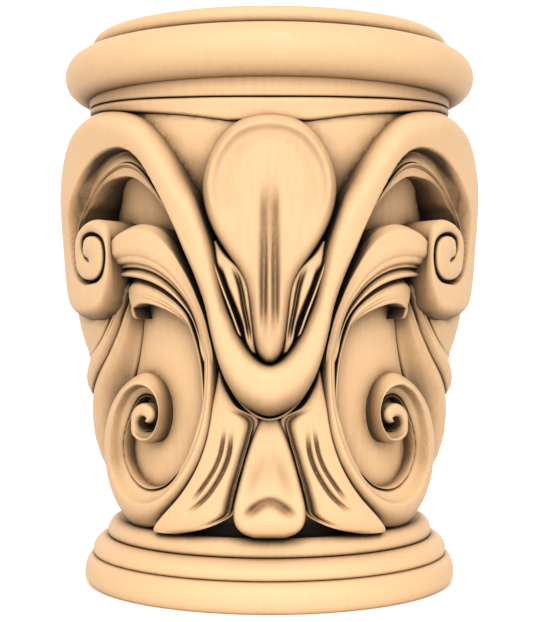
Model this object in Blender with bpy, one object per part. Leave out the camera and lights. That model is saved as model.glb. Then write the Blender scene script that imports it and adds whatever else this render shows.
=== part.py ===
# Carved wooden capital for a round column, full round, made from one block.
#
# A turned bell stands on three stacked beads and ends in a neck, a fat torus and a cap. Round it runs one
# carved pattern, twice: a broad band rises from a V in the middle, arches over on each side and rolls up
# into a volute. A spoon-shaped leaf hangs in the V, a hooded leaf and a lower scroll fill each side, and a
# tongue with two foot leaves stands on the beads below the V.
#
# Metres, +Z up, the front faces -Y. The origin is the centre of the underside.

import math

import bmesh
import bpy

# Turned mouldings, from the underside up
FOOT_BEAD_HEIGHTS = (0.0157, 0.0101, 0.0096)
FOOT_BEAD_RADII = (0.1024, 0.0979, 0.0899)
FOOT_TOP_RADIUS = 0.0845
CARVED_HEIGHT = 0.2281
TORUS_HEIGHT = 0.0269
CAP_HEIGHT = 0.0096
BELL_FOOT_RADIUS = 0.0790
BELL_TOP_RADIUS = 0.0970
NECK_RADIUS = 0.0988
NECK_HEIGHT = 0.0060
TORUS_RADIUS = 0.1134
CAP_RADIUS = 0.0988
CAP_EASE = 0.0050
FOOT_EASE = 0.0010

# The full-size pattern drawing that the carving follows: angles in degrees from the middle of the front,
# heights in millimetres above the underside, rises in millimetres out from the bell.
DRAWN_FOOT = 35.4
DRAWN_CARVING = 228.1
DRAWN_NECK = 98.8
MM = 0.001

MM_PER_DEGREE = 1.75
TOLERANCE_MM = 0.8

UNITS_ROUND = 2
TURNED_SIDES = 40
SINK_MM = 5.0
THINNING_SHARE = 0.66

FOOT_HEIGHT = sum(FOOT_BEAD_HEIGHTS)
TORUS_FOOT = FOOT_HEIGHT + CARVED_HEIGHT
CAP_FOOT = TORUS_FOOT + TORUS_HEIGHT
TOTAL_HEIGHT = CAP_FOOT + CAP_HEIGHT

WOOD_COLOUR = (0.80, 0.56, 0.32, 1.0)
WOOD_ROUGHNESS = 0.6

# The band: its upper edge (angle, height), its lower edge, its rise, and where its shoulder falls to the
# channel, as a share of its width. It starts in the middle of the V and ends in the volute.
BAND = (
    (0.0, 122.5, 0.0, 98.5, 25.0, 0.95),
    (-4.5, 126.5, -8.0, 102.0, 25.0, 0.95),
    (-8.2, 137.5, -13.0, 113.5, 25.0, 0.95),
    (-11.2, 153.5, -16.0, 136.5, 25.0, 0.95),
    (-14.6, 180.0, -20.0, 167.5, 24.0, 0.95),
    (-18.3, 204.0, -24.0, 198.5, 22.5, 0.92),
    (-25.5, 228.0, -33.0, 217.5, 20.0, 0.86),
    (-35.0, 243.5, -41.0, 223.4, 17.0, 0.72),
    (-49.0, 251.5, -47.5, 219.0, 14.5, 0.60),
    (-66.0, 251.5, -52.0, 208.0, 17.0, 0.50),
    (-81.0, 241.0, -55.2, 200.0, 20.5, 0.50),
    (-88.0, 217.0, -57.8, 192.5, 24.8, 0.55),
    (-88.8, 190.0, -61.0, 183.0, 25.9, 0.62),
    (-86.0, 165.0, -62.0, 175.5, 25.0, 0.66),
    (-77.0, 151.0, -60.0, 168.0, 22.5, 0.76),
    (-63.0, 145.5, -55.5, 164.8, 20.5, 0.90),
    (-51.0, 150.0, -50.5, 167.0, 21.0, 0.90),
    (-44.0, 166.0, -47.2, 175.0, 22.0, 0.90),
    (-41.3, 185.0, -48.5, 184.3, 20.5, 0.90),
    (-47.0, 195.0, -53.0, 187.5, 18.5, 0.90),
    (-56.0, 192.0, -57.5, 186.5, 17.0, 0.90),
)

# The bead along the inner side of the arch, from the leg of the V down to the eye of the volute
ARCH_BEAD = (
    (-22.3, 190.0, -22.0, 185.0, 17.0),
    (-26.0, 204.5, -24.8, 198.0, 17.5),
    (-32.5, 216.8, -31.0, 208.5, 16.5),
    (-41.0, 223.8, -39.0, 216.8, 15.0),
    (-48.3, 217.5, -46.3, 211.5, 15.5),
    (-54.5, 203.0, -51.5, 201.0, 18.0),
    (-60.0, 189.0, -56.5, 189.0, 21.0),
)

EYE = (-54.8, 176.0, 6.9, 10.6, 23.5)  # middle angle and height, half width in degrees, half height, rise

# The hooded leaf: outer edge, inner edge, rise. The first is the upper fold, the second the lower one.
UPPER_HOOD = (
    (-44.8, 180.5, -45.2, 164.8, 15.0),
    (-42.0, 187.5, -42.5, 165.8, 20.0),
    (-36.0, 191.4, -38.0, 166.0, 22.5),
    (-29.5, 190.2, -33.0, 164.4, 23.0),
    (-24.2, 184.5, -28.0, 159.0, 22.0),
    (-20.8, 172.0, -24.0, 150.5, 19.5),
    (-18.2, 154.5, -21.3, 140.5, 16.5),
    (-15.5, 129.0, -20.0, 121.0, 13.5),
)
LOWER_HOOD = (
    (-38.4, 163.0, -38.6, 146.0, 11.0),
    (-36.4, 164.2, -36.0, 149.5, 15.0),
    (-30.8, 161.2, -31.2, 152.8, 17.0),
    (-25.0, 151.8, -25.4, 147.0, 15.5),
    (-21.6, 138.5, -21.6, 133.5, 13.5),
    (-20.4, 124.0, -20.4, 118.0, 12.0),
)

# The lower scroll, from the stem of the hooded leaf round to its curled end: outer edge, inner edge, rise,
# and where its crest lies, as a share of its width
SCROLL = (
    (-15.6, 131.0, -20.6, 134.0, 13.0, 0.35),
    (-15.4, 113.0, -20.1, 114.0, 13.0, 0.35),
    (-17.2, 91.0, -22.0, 95.0, 13.0, 0.35),
    (-22.0, 68.5, -26.5, 76.0, 13.0, 0.40),
    (-30.5, 50.5, -33.0, 63.5, 13.0, 0.46),
    (-43.0, 38.0, -40.0, 60.0, 13.0, 0.50),
    (-59.0, 35.2, -46.5, 64.0, 13.0, 0.52),
    (-74.0, 43.0, -50.0, 73.0, 12.8, 0.52),
    (-79.0, 57.0, -50.6, 80.5, 12.6, 0.45),
    (-72.5, 75.0, -51.3, 89.5, 12.5, 0.34),
    (-62.5, 89.0, -51.0, 97.5, 12.5, 0.26),
    (-54.5, 104.0, -48.5, 103.5, 12.5, 0.35),
    (-43.0, 118.2, -42.5, 106.0, 12.5, 0.48),
    (-33.3, 115.0, -38.0, 104.5, 12.8, 0.55),
    (-30.2, 100.5, -36.2, 98.5, 13.5, 0.58),
    (-33.5, 87.0, -37.8, 92.0, 14.3, 0.58),
    (-43.5, 81.0, -42.4, 88.0, 15.3, 0.50),
    (-49.4, 90.0, -45.0, 89.8, 16.6, 0.50),
    (-44.6, 100.5, -43.2, 91.9, 17.6, 0.50),
    (-38.6, 99.7, -41.2, 91.5, 17.6, 0.50),
    (-38.6, 92.6, -40.6, 90.8, 16.0, 0.50),
)

# The leaf that fans out from under the hood to the side, as three lobes: upper edge, lower edge, rise
SIDE_LOBES = {
    "upper": (
        (-43.5, 166.0, -43.0, 161.5, 12.0),
        (-49.0, 157.0, -47.0, 149.5, 14.5),
        (-62.0, 150.0, -57.0, 132.5, 16.0),
        (-78.0, 150.0, -70.0, 125.5, 17.0),
        (-90.6, 150.0, -90.6, 120.0, 16.5),
    ),
    "middle": (
        (-43.1, 163.5, -42.0, 160.5, 11.0),
        (-48.2, 151.0, -46.0, 145.5, 13.5),
        (-58.5, 135.5, -54.0, 128.0, 14.0),
        (-71.5, 128.5, -67.5, 110.5, 15.5),
        (-90.5, 124.0, -90.5, 100.5, 14.0),
    ),
    "lower": (
        (-42.4, 162.0, -39.8, 160.0, 8.0),
        (-46.9, 148.5, -40.6, 141.0, 9.0),
        (-55.7, 130.0, -44.5, 121.0, 10.5),
        (-68.8, 113.5, -55.5, 101.0, 12.5),
        (-80.0, 106.0, -70.0, 76.0, 14.0),
        (-90.4, 104.0, -90.4, 60.0, 13.5),
    ),
}

# The spoon leaf: half width in degrees, height, rise
SPOON = (
    (0.8, 245.4, 11.0),
    (7.5, 242.6, 14.0),
    (12.6, 235.5, 16.0),
    (16.3, 224.0, 18.5),
    (17.1, 210.0, 20.5),
    (15.4, 194.0, 22.5),
    (11.0, 176.5, 25.0),
    (6.2, 161.0, 27.0),
    (4.9, 147.0, 27.5),
    (4.4, 132.0, 26.0),
    (2.6, 124.5, 23.0),
    (0.6, 122.6, 21.0),
)
SPOON_FOLD = (
    (-14.6, 184.0, -13.4, 183.0, 17.0),
    (-13.4, 172.0, -9.4, 173.5, 19.5),
    (-11.4, 158.0, -6.4, 158.5, 21.0),
    (-8.6, 143.0, -5.2, 143.0, 21.0),
    (-6.0, 131.0, -4.6, 130.0, 19.0),
)

# The tongue below the V: half width in degrees, height, rise
TONGUE = (
    (4.2, 99.0, 5.0),
    (6.0, 88.0, 10.0),
    (8.4, 74.0, 13.5),
    (10.4, 58.0, 15.0),
    (11.3, 46.5, 18.5),
    (9.6, 39.0, 18.0),
    (5.5, 35.0, 14.0),
)
FOOT_LEAF = (
    (-14.9, 118.0, -13.6, 114.0, 7.0),
    (-15.8, 100.0, -9.0, 97.0, 9.5),
    (-18.4, 80.0, -8.8, 78.0, 11.0),
    (-23.5, 63.5, -10.8, 61.0, 13.5),
    (-31.0, 49.5, -14.5, 48.5, 15.5),
    (-38.0, 41.0, -26.0, 38.0, 14.5),
    (-43.2, 36.2, -41.0, 34.6, 11.0),
)

# The lip under the neck: angle from the front, height of its upper edge, height of its lower edge
LIP = (
    (0.0, 257.0, 241.5),
    (12.0, 257.2, 242.2),
    (27.0, 257.8, 246.3),
    (46.0, 258.4, 250.0),
    (72.0, 260.0, 253.6),
    (90.0, 260.5, 254.5),
)
LIP_FACE = 3.0
LIP_BACK = -2.0


def clear_scene():
    for old in list(bpy.data.objects):
        bpy.data.objects.remove(old)


def curve_rows(rows, spans=6):
    """Rows between the given ones on a Catmull-Rom curve, with `spans` steps from row to row."""
    out = []
    last = len(rows) - 1
    for i in range(last):
        before, start = rows[max(i - 1, 0)], rows[i]
        end, after = rows[i + 1], rows[min(i + 2, last)]
        for k in range(spans):
            t = k / spans
            out.append(
                tuple(
                    0.5 * (2 * q + (r - p) * t + (2 * p - 5 * q + 4 * r - s) * t * t + (3 * q - p - 3 * r + s) * t**3)
                    for p, q, r, s in zip(before, start, end, after)
                )
            )
    out.append(tuple(rows[last]))
    return out


def off_the_chord(rows):
    """How far the rows between the first and the last stray from the straight line, in millimetres."""
    start, end = rows[0], rows[-1]
    worst = 0.0
    for k, row in enumerate(rows[1:-1], 1):
        share = k / (len(rows) - 1)
        gaps = [q - (p + (r - p) * share) for p, q, r in zip(start, row, end)]
        outer = math.hypot(gaps[0] * MM_PER_DEGREE, gaps[1])
        inner = math.hypot(gaps[2] * MM_PER_DEGREE, gaps[3])
        worst = max(worst, outer, inner, abs(gaps[4]))
    return worst


def smooth_rows(rows, tolerance=TOLERANCE_MM):
    """A smooth run through the rows, with no more of them than the tolerance asks for."""
    fine = curve_rows(rows)
    out = [fine[0]]
    start = 0
    while start < len(fine) - 1:
        end = start + 1
        while end + 1 < len(fine) and off_the_chord(fine[start : end + 2]) < tolerance:
            end += 1
        out.append(fine[end])
        start = end
    return out


def mirrored_rows(rows):
    """The same rows with their angles turned over, last row first, so that they run on from the middle."""
    return [(-row[0], row[1], -row[2], *row[3:]) for row in reversed(rows)]


def drawn_height(height_mm):
    """A height on the drawing as a height in metres on the capital."""
    return FOOT_HEIGHT + (height_mm - DRAWN_FOOT) / DRAWN_CARVING * CARVED_HEIGHT


def bell_radius(height):
    """The bell between the foot and the torus flares a little more towards its top."""
    t = min(max((height - FOOT_HEIGHT) / CARVED_HEIGHT, 0.0), 1.0)
    return BELL_FOOT_RADIUS + (BELL_TOP_RADIUS - BELL_FOOT_RADIUS) * (8 * t + t**6) / 9


def on_bell(angle_deg, height_mm, rise_mm):
    """A point of the drawing, wrapped round the bell."""
    height = drawn_height(height_mm)
    radius = bell_radius(height) + rise_mm * MM * NECK_RADIUS / (DRAWN_NECK * MM)
    angle = math.radians(angle_deg)
    return (radius * math.sin(angle), -radius * math.cos(angle), height)


def closed_loft(name, loops):
    """A closed solid through loops of points that all have the same count."""
    bm = bmesh.new()
    rings = [[bm.verts.new(point) for point in loop] for loop in loops]
    for ring, following in zip(rings, rings[1:]):
        count = len(ring)
        for j in range(count):
            k = (j + 1) % count
            bm.faces.new((ring[j], ring[k], following[k], following[j]))
    bm.faces.new(list(reversed(rings[0])))
    bm.faces.new(rings[-1])
    bmesh.ops.recalc_face_normals(bm, faces=bm.faces)
    bmesh.ops.triangulate(bm, faces=bm.faces)
    mesh = bpy.data.meshes.new(name)
    bm.to_mesh(mesh)
    bm.free()
    return mesh


def member(name, rows, section):
    """A carved member between two edges. `section(row)` gives (share across, share of the rise) pairs."""
    loops = []
    for row in rows:
        start_angle, start_height, end_angle, end_height, rise = row[:5]
        loop = []
        shape = section(row)
        for across, share in [(shape[0][0], None), *shape, (shape[-1][0], None)]:
            angle = start_angle + (end_angle - start_angle) * across
            height = start_height + (end_height - start_height) * across
            loop.append(on_bell(angle, height, -SINK_MM if share is None else rise * share))
        loops.append(loop)
    return closed_loft(name, loops)


def band_section(row):
    """Round over the leg of the V. In the arch a broad face, a shoulder and the channel beside it."""
    shoulder = row[5]
    if shoulder > 0.94:
        return ((0.0, 0.62), (0.18, 0.90), (0.5, 1.0), (0.70, 0.96), (0.86, 0.86), (1.0, 0.55))
    floor = (1 + 2 * shoulder) / 3
    return ((0.0, 0.66), (0.12, 0.96), (0.55 * shoulder, 1.0), (shoulder, 0.92), (floor, 0.66), (1.0, 0.60))


def scroll_section(row):
    """A face that falls outwards from the crest, and a channel inside it that ends in a thin edge."""
    crest = row[5]
    return ((0.0, 0.35), (crest * 0.5, 0.75), (crest, 1.0), (0.5 + crest / 2, 0.72), (1.0, 0.66))


def round_section(_row):
    return ((0.0, 0.60), (0.25, 0.92), (0.5, 1.0), (0.75, 0.92), (1.0, 0.60))


def hood_section(_row):
    """Rises steeply from the outer edge, and falls in steps to the folded inner edge."""
    return ((0.0, 0.45), (0.12, 0.82), (0.38, 1.0), (0.72, 0.92), (1.0, 0.74))


def lobe_section(_row):
    return ((0.0, 0.70), (0.4, 1.0), (1.0, 0.55))


def foot_leaf_section(_row):
    return ((0.0, 0.60), (0.2, 0.95), (0.42, 0.80), (0.7, 1.0), (1.0, 0.45))


def spoon_section(_row):
    """A raised rim each side of a shallow dish, with a rib down the middle."""
    half = ((0.0, 0.62), (0.10, 0.95), (0.28, 0.93), (0.5, 1.0))
    return half + tuple((1 - across, share) for across, share in reversed(half[:-1]))


def tongue_section(_row):
    half = ((0.0, 0.45), (0.15, 0.95), (0.5, 0.90))
    return half + tuple((1 - across, share) for across, share in reversed(half[:-1]))


def whole_width(rows):
    """Rows given by their half width, as rows from edge to edge."""
    return [(-half, height, half, height, rise) for half, height, rise in rows]


def eye_dome():
    """The eye of the volute, a low dome set in the end of the band."""
    middle, level, half_width, half_height, rise = EYE
    around = 14
    loops = []
    for share_out, share_up in ((1.0, None), (1.0, 0.80), (0.75, 0.96), (0.25, 1.0)):
        loop = []
        for k in range(around):
            turn = 2 * math.pi * k / around
            angle = middle + half_width * share_out * math.cos(turn)
            height = level + half_height * share_out * math.sin(turn)
            loop.append(on_bell(angle, height, -SINK_MM if share_up is None else rise * share_up))
        loops.append(loop)
    return closed_loft("eye", loops)


def lip_ring():
    """The lip under the neck, lowest in the middle of each front, as one closed ring."""
    quarter = curve_rows(LIP, 1)
    half = [(-angle, top, edge) for angle, top, edge in reversed(quarter)] + quarter[1:]
    turn = [(angle + 180.0 * k, top, edge) for k in range(UNITS_ROUND) for angle, top, edge in half[:-1]]
    bm = bmesh.new()
    rings = []
    for angle, top, edge in turn:
        points = ((top, LIP_FACE), (edge + 4.0, LIP_FACE + 1.2), (edge, LIP_FACE), (edge + 1.0, LIP_BACK), (top, LIP_BACK))
        rings.append([bm.verts.new(on_bell(angle, height, rise)) for height, rise in points])
    for ring, following in zip(rings, rings[1:] + rings[:1]):
        for j in range(len(ring)):
            k = (j + 1) % len(ring)
            bm.faces.new((ring[j], ring[k], following[k], following[j]))
    bmesh.ops.recalc_face_normals(bm, faces=bm.faces)
    bmesh.ops.triangulate(bm, faces=bm.faces)
    mesh = bpy.data.meshes.new("lip")
    bm.to_mesh(mesh)
    bm.free()
    return mesh


def bead_profile(foot, height, radius, top_radius, steps):
    """A stacked bead: a short eased foot, then a quarter round that turns in to the next bead."""
    belly = 0.3 * height
    points = [(radius - FOOT_EASE, foot), (radius, foot + belly)]
    for k in range(1, steps + 1):
        turn = math.pi / 2 * k / steps
        inset = (radius - top_radius) * (1 - math.cos(turn))
        points.append((radius - inset, foot + belly + (height - belly) * math.sin(turn)))
    return points


def turned_profile():
    """Half the outline of the turned block, from the middle of the underside to the middle of the top."""
    points = [(0.0, 0.0)]
    foot = 0.0
    inner = (*FOOT_BEAD_RADII[1:], FOOT_TOP_RADIUS + FOOT_EASE)
    for height, radius, following in zip(FOOT_BEAD_HEIGHTS, FOOT_BEAD_RADII, inner):
        points += bead_profile(foot, height, radius, following - FOOT_EASE, 2)
        foot += height
    bell_steps = 3
    neck_foot = TORUS_FOOT - NECK_HEIGHT
    for k in range(bell_steps + 1):
        height = FOOT_HEIGHT + (neck_foot - FOOT_HEIGHT) * k / bell_steps
        points.append((bell_radius(height), height))
    points.append((NECK_RADIUS, neck_foot))
    points.append((NECK_RADIUS, TORUS_FOOT))
    torus_steps = 6
    bulge = TORUS_RADIUS - NECK_RADIUS
    for k in range(1, torus_steps + 1):
        turn = math.pi * k / torus_steps
        radius = NECK_RADIUS + bulge * math.sin(turn)
        points.append((radius, TORUS_FOOT + TORUS_HEIGHT * (1 - math.cos(turn)) / 2))
    cap_steps = 2
    for k in range(cap_steps + 1):
        turn = math.pi / 2 * k / cap_steps
        inset = CAP_EASE * (1 - math.cos(turn))
        points.append((CAP_RADIUS - inset, CAP_FOOT + CAP_HEIGHT * (0.35 + 0.65 * math.sin(turn))))
    points.append((0.0, TOTAL_HEIGHT))
    return points


def turned_block():
    bm = bmesh.new()
    verts = [bm.verts.new((radius, 0.0, height)) for radius, height in turned_profile()]
    edges = [bm.edges.new(pair) for pair in zip(verts, verts[1:])]
    bmesh.ops.spin(
        bm, geom=verts + edges, axis=(0, 0, 1), cent=(0, 0, 0), angle=2 * math.pi, steps=TURNED_SIDES, use_merge=True
    )
    bmesh.ops.remove_doubles(bm, verts=bm.verts, dist=0.00002)
    bmesh.ops.recalc_face_normals(bm, faces=bm.faces)
    mesh = bpy.data.meshes.new("capital")
    bm.to_mesh(mesh)
    bm.free()
    return mesh


def carving_meshes():
    """(mesh, is it also needed mirrored) for each member of one unit of the pattern."""
    left_band = smooth_rows(BAND)
    whole_band = mirrored_rows(left_band) + left_band[1:]
    made = [
        (member("band", whole_band, band_section), False),
        (member("spoon", smooth_rows(whole_width(SPOON)), spoon_section), False),
        (member("tongue", smooth_rows(whole_width(TONGUE)), tongue_section), False),
        (member("arch_bead", smooth_rows(ARCH_BEAD), round_section), True),
        (eye_dome(), True),
        (member("upper_hood", smooth_rows(UPPER_HOOD), hood_section), True),
        (member("lower_hood", smooth_rows(LOWER_HOOD), hood_section), True),
        (member("scroll", smooth_rows(SCROLL), scroll_section), True),
        (member("spoon_fold", smooth_rows(SPOON_FOLD), round_section), True),
        (member("foot_leaf", smooth_rows(FOOT_LEAF), foot_leaf_section), True),
    ]
    for name, rows in SIDE_LOBES.items():
        made.append((member("side_lobe_" + name, smooth_rows(rows), lobe_section), True))
    return made


def flipped(mesh):
    """A copy of a mesh mirrored across the middle of the front, with its faces still pointing out."""
    copy = mesh.copy()
    bm = bmesh.new()
    bm.from_mesh(copy)
    bmesh.ops.scale(bm, vec=(-1, 1, 1), verts=bm.verts)
    bmesh.ops.reverse_faces(bm, faces=bm.faces)
    bm.to_mesh(copy)
    bm.free()
    return copy


def wood():
    material = bpy.data.materials.new("carved limewood")
    material.use_nodes = True
    shader = material.node_tree.nodes["Principled BSDF"]
    shader.inputs["Base Color"].default_value = WOOD_COLOUR
    shader.inputs["Roughness"].default_value = WOOD_ROUGHNESS
    shader.inputs["Metallic"].default_value = 0.0
    return material


def add_carver(collection, mesh, turn):
    """A member that the block takes in. It is only a guide for the union, so it isn't rendered."""
    carver = bpy.data.objects.new(mesh.name, mesh)
    carver.rotation_euler.z = turn
    carver.hide_render = True
    carver.display_type = "WIRE"
    collection.objects.link(carver)


def build_capital():
    clear_scene()
    capital = bpy.data.objects.new("capital", turned_block())
    bpy.context.scene.collection.objects.link(capital)
    capital.data.materials.append(wood())
    carving = bpy.data.collections.new("carving")
    bpy.context.scene.collection.children.link(carving)
    add_carver(carving, lip_ring(), 0.0)
    for mesh, both_sides in carving_meshes():
        sides = [mesh, flipped(mesh)] if both_sides else [mesh]
        for side in sides:
            for k in range(UNITS_ROUND):
                add_carver(carving, side, 2 * math.pi * k / UNITS_ROUND)
    union = capital.modifiers.new("carving", "BOOLEAN")
    union.operation = "UNION"
    union.operand_type = "COLLECTION"
    union.collection = carving
    union.solver = "EXACT"
    union.use_self = True
    thinning = capital.modifiers.new("thinning", "DECIMATE")
    thinning.decimate_type = "COLLAPSE"
    thinning.ratio = THINNING_SHARE
    thinning.use_collapse_triangulate = True


build_capital()
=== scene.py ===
# A carved limewood capital for a round column: the carving is drawn flat, cut in relief,
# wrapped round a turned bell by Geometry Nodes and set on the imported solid.
import math

import bpy
import numpy as np
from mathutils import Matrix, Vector
from mathutils.bvhtree import BVHTree


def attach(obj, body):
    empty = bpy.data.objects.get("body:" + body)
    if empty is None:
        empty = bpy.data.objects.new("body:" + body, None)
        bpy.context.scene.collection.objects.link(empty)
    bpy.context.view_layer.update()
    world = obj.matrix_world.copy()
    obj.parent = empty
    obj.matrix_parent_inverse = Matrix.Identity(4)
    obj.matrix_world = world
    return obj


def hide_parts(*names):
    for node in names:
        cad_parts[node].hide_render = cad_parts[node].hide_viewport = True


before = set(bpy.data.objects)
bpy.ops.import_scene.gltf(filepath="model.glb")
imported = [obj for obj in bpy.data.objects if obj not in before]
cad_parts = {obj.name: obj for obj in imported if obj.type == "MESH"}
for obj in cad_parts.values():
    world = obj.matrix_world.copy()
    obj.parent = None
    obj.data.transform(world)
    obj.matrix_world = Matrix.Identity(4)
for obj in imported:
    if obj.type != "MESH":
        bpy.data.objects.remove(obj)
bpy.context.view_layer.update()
print("frame loaded")

mm = 0.001
mmPerDegree = 1.75  # one degree of the drawing, measured on the bell
bell = {"foot": 35.4, "carved": 228.1, "footRadius": 79.0, "flare": 18.0, "units": 2}


def addNode(tree, kind, settings=None, links=None):
    # a link's value is a socket to join or a number to set
    node = tree.nodes.new(kind)
    for name, value in (settings or {}).items():
        setattr(node, name, value)
    for key, value in (links or {}).items():
        if isinstance(value, bpy.types.NodeSocket):
            tree.links.new(value, node.inputs[key])
        else:
            node.inputs[key].default_value = value
    return node


def linear(hexColour):
    channels = [int(hexColour[k : k + 2], 16) / 255 for k in (1, 3, 5)]
    return [c / 12.92 if c <= 0.04045 else ((c + 0.055) / 1.055) ** 2.4 for c in channels] + [1.0]


# Carved limewood: close, even grain with hardly a pore, cut with sharp gouges and waxed.
# Its colour is painted light and shade: lighter where it faces up in the open, darker on faces turned
# sideways or down and in hollows and creases.
limewood = {
    # crest is a painted highlight; turned away, shade and the darkest colour are painted shade
    "crest": "#DBB589",
    "face": "#CDA77D",
    "turned away": "#997855",
    "shade": "#4F3C28",
    "painted_shade": "#120B05",
    "grainMm": 2.6,  # width of a growth ring on the surface
    "poreMm": 0.5,  # real pores are 0.05 mm, drawn coarser so that they show
    "grainStretch": 0.06,  # the grain runs up the column
    "ringTint": 0.10,  # how far the rings shift the stain
    "bumpMm": 0.2,
    "bumpStrength": 0.12,
    "roughness": 0.52,
    "dulling": 0.25,  # how much rougher the wood is where the painted shade is deepest
    "gloss": 0.2,
    "ior": 1.5,
    "stops": ((0.0, "crest"), (0.18, "face"), (0.44, "turned away"), (0.64, "shade"), (0.86, "painted_shade")),
}


def makeLimewood(spec):
    material = bpy.data.materials.new("carved limewood")
    material.use_nodes = True
    tree = material.node_tree
    tree.nodes.clear()
    place = addNode(tree, "ShaderNodeTexCoord").outputs["Object"]
    # the painted shade worked out from the carving round each spot, read from the mesh
    painted_shade = addNode(tree, "ShaderNodeAttribute", {"attribute_name": "painted_shade"}).outputs["Fac"]
    along = addNode(
        tree, "ShaderNodeMapping", links={"Vector": place, "Scale": (1.0, 1.0, spec["grainStretch"])}
    ).outputs[0]
    ring = addNode(
        tree,
        "ShaderNodeTexNoise",
        {"noise_dimensions": "3D"},
        {"Vector": along, "Scale": 1 / (spec["grainMm"] * mm), "Detail": 3.0, "Roughness": 0.6},
    ).outputs["Fac"]
    pore = addNode(
        tree,
        "ShaderNodeTexNoise",
        {"noise_dimensions": "3D"},
        {"Vector": along, "Scale": 1 / (spec["poreMm"] * mm), "Detail": 2.0},
    ).outputs["Fac"]
    ringShift = addNode(
        tree,
        "ShaderNodeMath",
        {"operation": "MULTIPLY_ADD"},
        {0: ring, 1: spec["ringTint"], 2: -0.5 * spec["ringTint"]},
    ).outputs[0]
    # painted shade plus the tint of the growth rings
    grainAndPaintedShade = addNode(tree, "ShaderNodeMath", {"operation": "ADD"}, {0: painted_shade, 1: ringShift}).outputs[0]
    ramp = addNode(tree, "ShaderNodeValToRGB", links={"Fac": grainAndPaintedShade})
    while len(ramp.color_ramp.elements) < len(spec["stops"]):
        ramp.color_ramp.elements.new(0.5)
    for element, (at, colour) in zip(ramp.color_ramp.elements, spec["stops"]):
        element.position = at
        element.color = linear(spec[colour])
    height = addNode(
        tree, "ShaderNodeMath", {"operation": "MULTIPLY_ADD"}, {0: pore, 1: 0.5, 2: ring}
    ).outputs[0]
    bump = addNode(
        tree,
        "ShaderNodeBump",
        links={"Height": height, "Strength": spec["bumpStrength"], "Distance": spec["bumpMm"] * mm},
    ).outputs[0]
    dull = addNode(
        tree,
        "ShaderNodeMath",
        {"operation": "MULTIPLY_ADD"},
        {0: painted_shade, 1: spec["dulling"], 2: spec["roughness"]},
    ).outputs[0]
    shader = addNode(
        tree,
        "ShaderNodeBsdfPrincipled",
        links={
            "Base Color": ramp.outputs["Color"],
            "Roughness": dull,
            "Normal": bump,
            "IOR": spec["ior"],
            "Specular IOR Level": spec["gloss"],
        },
    ).outputs[0]
    addNode(tree, "ShaderNodeOutputMaterial", links={"Surface": shader})
    return material


wood = makeLimewood(limewood)


def newTree(name, inputs):
    tree = bpy.data.node_groups.new(name, "GeometryNodeTree")
    tree.interface.new_socket("Geometry", in_out="INPUT", socket_type="NodeSocketGeometry")
    for label, kind, value in inputs:
        socket = tree.interface.new_socket(label, in_out="INPUT", socket_type=kind)
        if value is not None:
            socket.default_value = value
    tree.interface.new_socket("Geometry", in_out="OUTPUT", socket_type="NodeSocketGeometry")
    return tree, addNode(tree, "NodeGroupInput").outputs


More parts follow.
